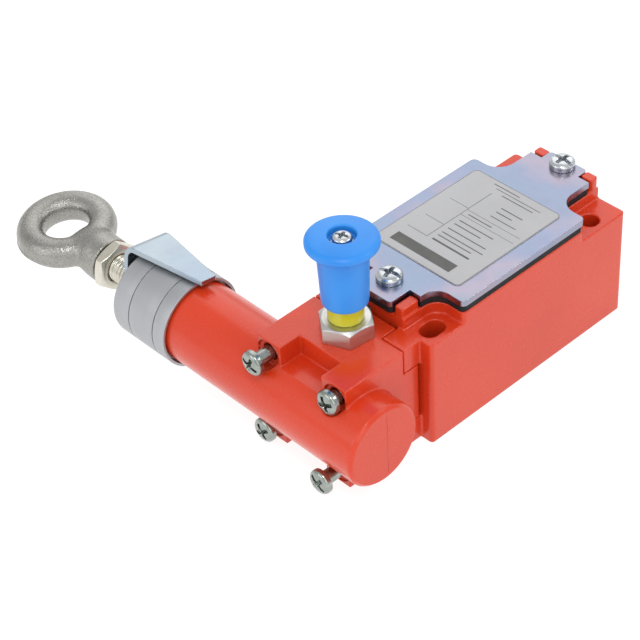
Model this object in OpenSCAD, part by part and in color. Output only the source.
// Rope pull emergency stop switch: die-cast contact housing, cross head with
// pull rod, tension indicator, rope eye bolt and a pull-to-reset knob.
// X runs along the pull rod (the eye points to -X), Y along the housing away
// from the head, Z up from the mounting face. The origin is the centre of the
// four fixing holes, on the mounting face.

/* [Housing] */
// Width of the housing across X
body_w = 39.2; // [38.6:0.2:40]
// Front end of the housing, towards the head (Y)
body_y0 = -35.4; // [-35.6:0.1:-35.2]
// Far end of the housing, at the cable entry (Y)
body_y1 = 39.3; // [39:0.1:40]
// Height of the four corner ledges above the mounting face
ledge_z = 33.5; // [33:0.1:34]
// Height of the cover seat under the gasket
seat_z = 36.8; // [36.4:0.1:37]
// Wall thickness of the housing
wall = 3.2; // [2.6:0.1:3.4]
// Spacing of the fixing holes along X
fix_x = 30; // [30:0.5:31]
// Spacing of the fixing holes along Y
fix_y = 60; // [60:0.5:61]
// Diameter of the fixing holes, for M5 screws
fix_d = 5.3; // [5.1:0.1:5.6]
// Extra length of the two slotted fixing holes
slot_extra = 2; // [1:0.5:3]
// Diameter of the threaded cable entry, across the thread crests
cable_d = 18.5; // [18:0.1:19]

/* [Cover] */
// Thickness of the rubber gasket
gasket_t = 2.1; // [1.9:0.1:2.4]
// Thickness of the steel cover plate
plate_t = 1.9; // [1.6:0.1:2.1]
// Width of the cover plate
plate_w = 39.6; // [39:0.2:40]
// Width of the label
label_w = 30.4; // [28:0.2:32]
// Length of the label
label_l = 39.6; // [36:0.2:40]
// Head diameter of the cover screws
screw_head_d = 7.1; // [6.8:0.1:7.6]

/* [Head] */
// Width of the head block across X
head_w = 32; // [31:0.5:32]
// Front face of the ears of the head block (Y)
head_y0 = -61.6; // [-62:0.1:-61]
// Y of the pull rod axis
rod_y = -56.7; // [-57:0.1:-56.5]
// Height of the pull rod axis
rod_z = 17; // [16.9:0.1:17.1]
// Outer diameter of the tube
tube_d = 23.6; // [23:0.1:24]
// Bore of the tube
tube_bore = 16; // [15.9:0.1:16.1]
// Closed end of the tube (X)
tube_x1 = 24; // [23.5:0.5:26]
// Head diameter of the head screws
head_screw_d = 7; // [6.8:0.1:7.2]

/* [Indicator and eye] */
// Outer diameter of the indicator sleeve
sleeve_d = 26.4; // [26:0.1:27]
// End of the sleeve towards the eye (X)
sleeve_x0 = -66; // [-66.2:0.1:-65.2]
// Rim of the sleeve over the tube (X)
sleeve_x1 = -45; // [-45.4:0.1:-44.6]
// Turn of the pointer plate about the rod, in degrees
pointer_turn = 9; // [0:1:12]
// Centre of the eye (X)
eye_x = -102.1; // [-103.5:0.2:-101.9]
// Radius of the hole in the eye
eye_ri = 6.5; // [6:0.1:6.8]
// Outer radius of the eye
eye_ro = 14.3; // [13.6:0.1:14.4]
// Thickness of the eye
eye_t = 8.3; // [8:0.1:9]

/* [Reset knob] */
// Y of the knob's axis
knob_y = -45.4; // [-45.6:0.1:-45.2]
// Flange diameter of the knob
knob_d = 18.9; // [18:0.1:20]
// Underside of the knob's skirt above the mounting face
knob_z0 = 43.8; // [43.4:0.1:44.4]

/* [Motion] */
// Radius of the trip cam under the plunger at rest
cam_r = 4.2; // [4:0.05:4.3]
// Rise of the trip cam for each millimetre of pull
cam_slope = 0.12; // [0.1:0.01:0.12]

/* [Hidden] */
$fn = 64;
hw = body_w / 2;
pw = plate_w / 2;
hx = head_w / 2;
fx = fix_x / 2;
fy = fix_y / 2;
gz = seat_z + gasket_t;
pz = gz + plate_t;
fit = 0.05;
red = [0.86, 0.2, 0.14];
zinc = [0.72, 0.76, 0.84];
steel = [0.7, 0.7, 0.7];
brass = [0.85, 0.7, 0.35];
copper = [0.8, 0.5, 0.3];
black = [0.08, 0.08, 0.09];
cover_scr = [[-0.3, -29.6], [0.2, 35.8]];
head_scr_x = 12.1;
head_scr_dz = 12.2;
// lift and roll of the eye's ring about the shank, as screwed in and locked
eye_dz = 1.2;
eye_roll = 4;
// [x, z, y of the underside of the screw's head]
head_scr = [[-head_scr_x, rod_z + head_scr_dz, -65.9],
    [head_scr_x, rod_z + head_scr_dz, -63],
    [-head_scr_x, rod_z - head_scr_dz, -63.8],
    [head_scr_x, rod_z - head_scr_dz, -67]];
term = [[-10.3, -11.5], [10.3, -11.5], [-10.3, 9.9], [10.3, 9.9]];
nose_y = rod_y + cam_r + 0.25;

// A plate with rounded vertical edges between two corners
module rbox(x0, x1, y0, y1, z0, z1, r) {
    translate([x0 + r, y0, z0]) cube([x1 - x0 - 2 * r, y1 - y0, z1 - z0]);
    translate([x0, y0 + r, z0]) cube([x1 - x0, y1 - y0 - 2 * r, z1 - z0]);
    for (x = [x0 + r, x1 - r], y = [y0 + r, y1 - r])
        translate([x, y, z0]) cylinder(r = r, h = z1 - z0, $fn = 40);
}
// A hole or slot through Z, lengthened by e along Y
module slot(d, e, z0, z1) {
    for (s = [-1, 1]) translate([0, s * e / 2, z0])
        cylinder(d = d, h = z1 - z0, $fn = 48);
    if (e > 0) translate([-d / 2, -e / 2, z0]) cube([d, e, z1 - z0]);
}
// A bar along X on the pull rod's axis
module xcyl(r, x0, x1) {
    translate([x0, rod_y, rod_z]) rotate([0, 90, 0])
        cylinder(r = r, h = x1 - x0);
}
module xcone(r0, r1, x0, x1) {
    translate([x0, rod_y, rod_z]) rotate([0, 90, 0])
        cylinder(r1 = r0, r2 = r1, h = x1 - x0);
}
// A round hole along Y
module ycyl(r, x, z, y0, y1) {
    translate([x, y1, z]) rotate([90, 0, 0]) cylinder(r = r, h = y1 - y0);
}
// Concave fillet in the corner between the wide part and the broad tab
module corner_fill(x, y, r, sx, sy, z0, z1) {
    translate([x, y, 0]) difference() {
        translate([sx > 0 ? -0.2 : -r, sy > 0 ? -0.2 : -r, z0])
            cube([r + 0.2, r + 0.2, z1 - z0]);
        translate([sx * r, sy * r, z0 - 1]) cylinder(r = r, h = z1 - z0 + 2);
    }
}
// Outline of the cover: wide middle, broad tabs and narrow screw tabs
module cover_form(w, t, n, e, z0, z1) {
    rbox(-w, w, -23.8 + e, 22.6 - e, z0, z1, 1.6);
    translate([-t, -29.3 + e, z0]) cube([2 * t, 64.3 - 2 * e, z1 - z0]);
    rbox(-n, n, -36.3 + e, 38.8 - e, z0, z1, 1.2);
    for (s = [-1, 1]) {
        corner_fill(s * t, -23.8 + e, 4.4, s, -1, z0, z1);
        corner_fill(s * t, 22.6 - e, 5.4, s, 1, z0, z1);
    }
}
// Pan head screw with a cross and slot recess, seated at z = 0, shank down
module pan_screw(d, l, hd, hh) {
    difference() {
        union() {
            rotate_extrude() polygon([[0, 0], [hd * 0.49, 0],
                [hd * 0.5, hh * 0.12], [hd * 0.497, hh * 0.36],
                [hd * 0.46, hh * 0.62], [hd * 0.37, hh * 0.83],
                [hd * 0.24, hh * 0.95], [0, hh]]);
            translate([0, 0, -l]) cylinder(d = d, h = l + 0.1);
        }
        for (a = [0, 90]) rotate([0, 0, a])
            translate([-hd * 0.29, -hd * 0.065, hh * 0.35])
                cube([hd * 0.58, hd * 0.13, hh]);
        translate([-hd * 0.42, -hd * 0.06, hh * 0.62])
            cube([hd * 0.84, hd * 0.12, hh]);
    }
}
// Coil spring along Z from 0 to l, swept as a closed tube
module coil(r, w, l, turns, seg, m) {
    n = turns * seg;
    pts = [for (i = [0:n]) let (a = 360 * i / seg,
        z = w + (l - 2 * w) * i / n) for (j = [0:m - 1])
        let (b = 360 * j / m, q = r + w * cos(b))
        [q * cos(a), q * sin(a), z + w * sin(b)]];
    side = [for (i = [0:n - 1], j = [0:m - 1]) let (k = (j + 1) % m)
        [i * m + j, i * m + k, (i + 1) * m + k, (i + 1) * m + j]];
    polyhedron(points = pts, faces = concat(side,
        [[for (j = [m - 1:-1:0]) j]], [[for (j = [0:m - 1]) n * m + j]]));
}
// Hexagon bar with chamfered ends, across flats af
module hex(af, h, c) {
    intersection() {
        cylinder(r = af / sqrt(3), h = h, $fn = 6);
        union() {
            translate([0, 0, c]) cylinder(r = af / sqrt(3) + 0.1, h = h - 2 * c);
            cylinder(r1 = af / 2 * 0.98, r2 = af / sqrt(3) + 0.1, h = c + 0.001);
            translate([0, 0, h - c - 0.001]) cylinder(r1 = af / sqrt(3) + 0.1,
                r2 = af / 2 * 0.98, h = c + 0.001);
        }
    }
}

module housing() {
    color(red) difference() {
        union() {
            rbox(-hw, hw, body_y0, body_y1, 0, ledge_z, 1.2);
            // cover seat
            rbox(-hw, hw, -23.6, 22.4, ledge_z - 1, seat_z, 1.2);
            translate([-10.3, body_y0, ledge_z - 1])
                cube([20.6, body_y1 - body_y0, seat_z - ledge_z + 1]);
            for (s = [-1, 1]) {
                corner_fill(s * 10.3, -23.6, 4.4, s, -1, ledge_z - 1, seat_z);
                corner_fill(s * 10.3, 22.4, 5.4, s, 1, ledge_z - 1, seat_z);
            }
            // lugs that locate the cover's tabs
            for (s = [-1, 1]) {
                rbox(min(s * 7.1, s * 9.9), max(s * 7.1, s * 9.9), body_y0,
                    -29.5, seat_z - 1, 39.7, 0.5);
                rbox(min(s * 6.5, s * 10.3), max(s * 6.5, s * 10.3), 35.9,
                    38.8, seat_z - 1, 40.6, 0.9);
            }
            // lugs that take the head screws
            for (s = [-1, 1]) for (z = [[26, ledge_z], [0.5, 8]])
                translate([s > 0 ? 8.4 : -15.9, -41.2, z[0]])
                    cube([7.5, 6.6, z[1] - z[0]]);
        }
        // contact chamber
        rbox(-hw + wall, hw - wall, -20.4, 19.2, 3, seat_z + 1, 1.5);
        translate([-6.9, -32.2, 9]) cube([13.8, 14, 15]);
        translate([-6.9, 17, 5]) cube([13.8, 10, 24]);
        // cable entry and plunger passage
        ycyl(cable_d / 2, 0, rod_z, 26.5, body_y1 + 1);
        ycyl(4.55, 0, rod_z, body_y0 - 1, -31);
        // fixing holes: slotted near the head, round at the far end
        for (s = [-1, 1]) {
            translate([s * fx, -fy, 0]) slot(fix_d, slot_extra, -1, 40);
            translate([s * fx, fy, 0]) slot(fix_d, 0, -1, 40);
        }
        for (p = cover_scr) translate([p[0], p[1], 28.2])
            cylinder(r = 2 + fit, h = 20);
        for (p = head_scr) ycyl(2 + fit, p[0], p[1], -42, -35.1);
        for (s = [-1, 1]) translate([s * 11.4, -0.4, 0.8])
            cylinder(r = 1.65, h = 4);
        translate([12.4, 16.2, 1.2]) cylinder(r = 1.75 + fit, h = 4);
    }
}

module cover_gasket() {
    color(black) difference() {
        cover_form(pw - 0.35, 10.2, 6.4, 0.3, seat_z, gz);
        rbox(-hw + wall, hw - wall, -20.4, 19.2, 3, gz + 1, 1.5);
        for (p = cover_scr) translate([p[0], p[1], 30])
            cylinder(r = 2.2, h = 20);
    }
}

module cover_plate() {
    color(zinc) difference() {
        cover_form(pw, 10.3, 6.5, 0, gz, pz);
        for (p = cover_scr) translate([p[0], p[1], 30])
            cylinder(r = 2.15, h = 20);
    }
}

module rating_label() {
    color([0.8, 0.8, 0.78])
        rbox(-label_w / 2 - 0.5, label_w / 2 - 0.5, -label_l / 2 - 0.6,
            label_l / 2 - 0.6, pz, pz + 0.2, 1.6);
}

module cover_screws() {
    color(steel) for (i = [0, 1])
        translate([cover_scr[i][0], cover_scr[i][1], pz])
            rotate([0, 0, i == 0 ? 28 : -22])
                pan_screw(4, 12, screw_head_d, 2.5);
}

module head_gasket() {
    color(black) difference() {
        rbox(-13.5, 13.5, -36.2, body_y0, 8.8, 25.2, 0.3);
        ycyl(5.2, 0, rod_z, -37, -35);
    }
}

module head_housing() {
    color(red) difference() {
        union() {
            difference() {
                rbox(-hx, hx, -55.6, -36.2, 0.5, ledge_z, 0.4);
                // corners cut away for the housing's lugs
                for (s = [-1, 1]) for (z = [[25.8, 40], [-1, 8.2]])
                    translate([s > 0 ? 8.2 : -17, -41.4, z[0]])
                        cube([8.8, 10, z[1] - z[0]]);
            }
            // ears for the head screws
            for (s = [-1, 1]) for (z = [[27.4, ledge_z], [0.5, 6.6]])
                translate([s > 0 ? 7.4 : -hx, head_y0, z[0]])
                    cube([hx - 7.4, 8, z[1] - z[0]]);
            // tube with a neck for the sleeve and a rounded closed end
            xcyl(tube_d / 2, -47.3, tube_x1 - 0.9);
            xcone(tube_d / 2, tube_d / 2 - 0.9, tube_x1 - 0.9, tube_x1);
            xcyl(10.5, -60, -47);
        }
        // flat between the ears, above and below the tube
        translate([-7.4, head_y0 - 10, 27.5]) cube([14.8, 17, 10]);
        translate([-7.4, head_y0 - 10, -3.5]) cube([14.8, 17, 10]);
        xcyl(tube_bore / 2, -61, 20.5);
        // spot faces and holes of the head screws
        for (p = head_scr) {
            ycyl(3.75, p[0], p[1], -72, head_y0 + 0.8);
            ycyl(2.5, p[0], p[1], -63, -36);
        }
        // plunger bore and its seal pocket
        ycyl(3.1, 0, rod_z, -55, -36);
        ycyl(5, 0, rod_z, -38.2, -35);
        // reset bush, chamber and latch pin hole
        translate([0, knob_y, 24.3]) cylinder(r = 6 + fit, h = 20);
        translate([0, knob_y, 18]) cylinder(r = 1.6, h = 10, $fn = 32);
    }
}

module head_screws() {
    color(steel) for (i = [0:3])
        translate([head_scr[i][0], head_scr[i][2], head_scr[i][1]])
            rotate([90, 0, 0]) rotate([0, 0, [-20, 24, 35, -38][i]])
                pan_screw(4, 27.6, head_screw_d, 2.4);
}

module indicator_sleeve() {
    color([0.78, 0.79, 0.8]) difference() {
        union() {
            xcone(sleeve_d / 2 - 0.6, sleeve_d / 2, sleeve_x0, sleeve_x0 + 0.6);
            xcyl(sleeve_d / 2, sleeve_x0 + 0.6, sleeve_x1);
        }
        xcyl(12.35, -47.4, sleeve_x1 + 1);
        xcyl(10.5 + fit, -60.2, -47);
        xcyl(6.5, sleeve_x0 - 1, -59);
        xcyl(8.6, sleeve_x0 - 1, -62.6);
        // engraved tension lines
        for (x = [-49.5, -59.2]) difference() {
            xcyl(sleeve_d, x - 0.2, x + 0.2);
            xcyl(sleeve_d / 2 - 0.35, x - 1, x + 1);
        }
    }
}

module rod_wiper() {
    color(black) difference() {
        union() {
            xcyl(8.5, -64.9, -62.7);
            xcone(7, 7.6, -65.2, -64.9);
        }
        xcyl(6.2, -70, -60);
    }
}

module rod_bush() {
    color(brass) difference() {
        xcyl(7.95, -60, -50.5);
        xcyl(6 + fit, -70, -40);
    }
}

module pull_rod() {
    color(steel) difference() {
        union() {
            xcyl(6, -68.1, -8);
            xcyl(4, -8.5, -3.5);
            xcyl(3, -4, 19.6);
        }
        xcyl(4, -69, -48);
        // circlip grooves
        difference() { xcyl(5, -4.85, -4.05); xcyl(3.5, -6, -3); }
        difference() { xcyl(5, 18.3, 19.1); xcyl(2.5, 18, 20); }
    }
}

module spring_seat() {
    color([0.9, 0.9, 0.85]) difference() {
        xcyl(7.92, -8, -4.9);
        xcyl(4 + fit, -9, 0);
    }
}

module rod_circlips() {
    color(steel) {
        difference() {
            xcyl(5.2, -4.8, -4.1);
            xcyl(3.55, -6, -3);
            translate([-6, rod_y - 1.2, rod_z - 8]) cube([4, 2.4, 8]);
        }
        difference() {
            xcyl(4.2, 18.35, 19.05);
            xcyl(2.55, 18, 20);
            translate([17, rod_y - 0.9, rod_z - 8]) cube([4, 1.8, 8]);
        }
    }
}

module trip_cam() {
    color(steel) difference() {
        xcone(cam_r - 3.4 * cam_slope, cam_r + 18.2 * cam_slope, -3.4, 18.2);
        xcyl(3 + fit, -5, 20);
    }
}

module pull_spring() {
    color(steel) translate([-50.4, rod_y, rod_z]) rotate([0, 90, 0])
        coil(6.98, 0.68, 42.2, 9, 18, 6);
}

module eye_bolt() {
    rm = (eye_ri - 0.3 + eye_ro) / 2;
    wr = (eye_ro - eye_ri + 0.3) / 2;
    ht = eye_t / 2;
    color([0.65, 0.64, 0.62]) difference() {
        union() {
            translate([eye_x, rod_y, rod_z + eye_dz]) rotate([eye_roll, 0, 0])
                rotate_extrude($fn = 96)
                polygon([for (i = [0:19]) let (a = 18 * i)
                    [rm + wr * cos(a), ht * sin(a)]]);
            xcone(6, 6.7, -91.5, -85);
            xcone(6.7, 6.9, -85, -84.2);
            xcyl(6.9, -84.2, -82.5);
            xcyl(3.95, -84.5, -49);
        }
        translate([eye_x, rod_y, rod_z + eye_dz]) rotate([eye_roll, 0, 0])
            translate([0, 0, -10]) cylinder(r = eye_ri, h = 20);
    }
}

module lock_nut() {
    color([0.82, 0.78, 0.68]) difference() {
        translate([-82.4, rod_y, rod_z]) rotate([-10, 0, 0])
            rotate([0, 90, 0]) hex(13, 4, 0.7);
        xcyl(4, -90, -70);
    }
}

module tension_pointer() {
    color([0.74, 0.8, 0.88]) translate([0, rod_y, rod_z])
        rotate([-pointer_turn, 0, 0]) {
            // leg clamped against the rod
            difference() {
                union() {
                    translate([-69.6, -6.3, 0]) cube([1.5, 12.6, 11.2]);
                    translate([-69.6, 0, 0]) rotate([0, 90, 0])
                        cylinder(r = 6.3, h = 1.5);
                }
                translate([-71, 0, 0]) rotate([0, 90, 0])
                    cylinder(r = 4.1, h = 4);
            }
            // bend
            intersection() {
                translate([-65.6, 6.3, 11.2]) rotate([90, 0, 0])
                    difference() {
                        cylinder(r = 4, h = 12.6);
                        translate([0, 0, -1]) cylinder(r = 2.5, h = 16);
                    }
                translate([-70, -7, 11.2]) cube([4.4, 14, 5]);
            }
            // tapered pointer above the sleeve
            translate([0, 0, 13.7]) linear_extrude(height = 1.5)
                polygon([[-65.6, -6.3], [-42.6, -2.5], [-42.6, 2.5],
                    [-65.6, 6.3]]);
        }
}

module reset_bush() {
    color(steel) translate([0, knob_y, 0]) difference() {
        union() {
            translate([0, 0, ledge_z]) rotate([0, 0, -37])
                intersection() {
                    cylinder(r = 7.6, h = 5.1, $fn = 6);
                    union() {
                        cylinder(r = 8, h = 4.2);
                        translate([0, 0, 4.199])
                            cylinder(r1 = 7.7, r2 = 6.2, h = 0.901);
                    }
                }
            translate([0, 0, 27.5]) cylinder(r = 6, h = 6.1);
        }
        translate([0, 0, 20]) cylinder(r = 3 + fit, h = 30);
        translate([0, 0, 20]) cylinder(r = 4.6, h = 16);
    }
}

module yellow_collar() {
    color([0.9, 0.82, 0.15]) translate([0, knob_y, ledge_z + 5.1])
        difference() {
            cylinder(r = 4.7, h = 10.8);
            translate([0, 0, -1]) cylinder(r = 3.3, h = 14);
        }
}

module reset_spindle() {
    color(steel) translate([0, knob_y, 0]) difference() {
        union() {
            translate([0, 0, 20.4]) cylinder(r = 1.5, h = 5, $fn = 32);
            translate([0, 0, 24.6]) cylinder(r = 4.3, h = 1.2);
            translate([0, 0, 25]) cylinder(r = 3, h = 37.3);
        }
        translate([0, 0, 49.5]) cylinder(r = 1.5, h = 20, $fn = 32);
    }
}

module reset_spring() {
    color(steel) translate([0, knob_y, 25.9]) coil(3.8, 0.36, 10, 5, 16, 6);
}

module reset_knob() {
    r = knob_d / 2;
    color([0.2, 0.5, 0.9]) translate([0, knob_y, knob_z0])
        rotate_extrude($fn = 96) polygon([[5.05, 0], [5.7, 0], [6.0, 0.35],
            [6.1, 1], [6.45, 10], [6.65, 14.6], [6.95, 15.9], [7.6, 16.9],
            [8.5, 17.5], [r - 0.3, 17.75], [r, 18.1], [r, 19.2],
            [r - 0.35, 19.6], [8.3, 20.05], [6.5, 20.4], [4.2, 20.7],
            [3.75, 20.6], [3.6, 20.3], [3.6, 18.7], [3.05, 18.7],
            [3.05, 6.4], [5.05, 6.4]]);
}

module knob_screw() {
    color(steel) translate([0, knob_y, knob_z0 + 18.7]) rotate([0, 0, 20])
        pan_screw(2.9, 12.3, 5.6, 1.9);
}

module plunger() {
    color(steel) difference() {
        union() {
            translate([0, nose_y + 3, rod_z]) sphere(r = 3);
            ycyl(3, 0, rod_z, nose_y + 3, -31.6);
        }
        // latch groove for the reset pin
        difference() {
            ycyl(4, 0, rod_z, -49.2, -45.8);
            ycyl(2.2, 0, rod_z, -50, -45);
        }
    }
}

module plunger_seal() {
    color(black) difference() {
        ycyl(4.9, 0, rod_z, -38.1, -36.3);
        ycyl(3.15, 0, rod_z, -39, -35);
    }
}

module plunger_guide() {
    color(brass) difference() {
        union() {
            ycyl(4.5, 0, rod_z, -35.3, -32);
            ycyl(5.6, 0, rod_z, -32.15, -31.6);
        }
        ycyl(3.1, 0, rod_z, -36, -30);
    }
}

module contact_block() {
    color([0.2, 0.2, 0.22]) difference() {
        union() {
            translate([-13.6, -17, 3]) cube([27.2, 30.4, 7]);
            for (s = [-1, 1]) translate([s > 0 ? 4.4 : -13.6, -17, 9])
                cube([9.2, 30.4, 6]);
            translate([-4.5, 11.6, 9]) cube([9, 1.8, 12]);
        }
        translate([-3.9, -18, 10]) cube([7.8, 29.6, 20]);
        for (p = term) translate([p[0], p[1], 7]) cylinder(r = 1.8, h = 10);
        for (s = [-1, 1]) translate([s * 11.4, -0.4, 2])
            cylinder(r = 1.65, h = 20);
    }
}

module contact_carrier() {
    color([0.85, 0.3, 0.2]) difference() {
        union() {
            translate([-3.2, -31.4, 14]) cube([6.4, 3, 6]);
            translate([-2.4, -29, 14]) cube([4.8, 12, 6]);
            translate([-3.5, -17.5, 11]) cube([7, 23.4, 11.6]);
        }
        // windows for the two bridges and their springs
        translate([-5, -5.2, 15.6]) cube([10, 4.6, 3.8]);
        translate([-5, 0.6, 15.6]) cube([10, 4.1, 3.8]);
    }
}

module bridge_contacts() {
    color(copper) {
        translate([-8.2, -5.1, 15.9]) cube([16.4, 0.8, 3.2]);
        translate([-8.2, 3.8, 15.9]) cube([16.4, 0.8, 3.2]);
    }
}

module bridge_springs() {
    color(steel) {
        translate([0, -4.2, 17.5]) rotate([-90, 0, 0])
            coil(1.2, 0.22, 3.5, 4, 10, 5);
        translate([0, 0.7, 17.5]) rotate([-90, 0, 0])
            coil(1.2, 0.22, 3, 4, 10, 5);
    }
}

module carrier_spring() {
    color(steel) translate([0, 6, 17]) rotate([-90, 0, 0])
        coil(2.4, 0.4, 5.5, 5, 14, 6);
}

module fixed_contacts() {
    color(brass) difference() {
        fixed_strips();
        for (p = term) translate([p[0], p[1], 12]) cylinder(r = 1.75, h = 6);
    }
}
module fixed_strips() {
    for (s = [-1, 1]) {
        translate([s > 0 ? 6.6 : -13, -15, 15]) cube([6.4, 9.8, 1]);
        translate([s > 0 ? 5.2 : -7.5, -6, 15]) cube([2.3, 0.8, 5]);
        translate([s > 0 ? 5.2 : -13, -6, 15]) cube([7.8, 0.8, 1]);
        translate([s > 0 ? 6.6 : -13, 6.9, 15]) cube([6.4, 6.3, 1]);
        translate([s > 0 ? 5.2 : -7.5, 6.9, 15]) cube([2.3, 0.8, 5]);
        translate([s > 0 ? 5.2 : -13, 6.9, 15]) cube([7.8, 0.8, 1]);
    }
}

module terminal_clamps() {
    color(steel) for (p = term) difference() {
        translate([p[0] - 2.6, p[1] - 2.6, 17]) cube([5.2, 5.2, 1.1]);
        translate([p[0], p[1], 15]) cylinder(r = 1.9, h = 5);
    }
}

module terminal_screws() {
    color(steel) for (p = term) translate([p[0], p[1], 18.1])
        rotate([0, 0, p[0] + p[1] * 3]) pan_screw(3.4, 9, 5.4, 2);
}

module block_screws() {
    color(steel) for (s = [-1, 1]) translate([s * 11.4, -0.4, 15])
        rotate([0, 0, 30 * s]) pan_screw(3.2, 14, 5.6, 2.1);
}

module earth_screw() {
    color(steel) translate([12.4, 16.2, 4.2]) {
        rotate([0, 0, 40]) pan_screw(3.5, 2.8, 5.2, 2.1);
        difference() {
            translate([0, 0, -1.2]) cylinder(r = 2.6, h = 1.1);
            translate([0, 0, -2]) cylinder(r = 1.8, h = 3);
        }
    }
}

housing();
cover_gasket();
cover_plate();
rating_label();
cover_screws();
head_gasket();
head_housing();
head_screws();
indicator_sleeve();
rod_wiper();
rod_bush();
pull_rod();
spring_seat();
rod_circlips();
trip_cam();
pull_spring();
eye_bolt();
lock_nut();
tension_pointer();
reset_bush();
yellow_collar();
reset_spindle();
reset_spring();
reset_knob();
knob_screw();
plunger();
plunger_seal();
plunger_guide();
contact_block();
contact_carrier();
bridge_contacts();
bridge_springs();
carrier_spring();
fixed_contacts();
terminal_clamps();
terminal_screws();
block_screws();
earth_screw();
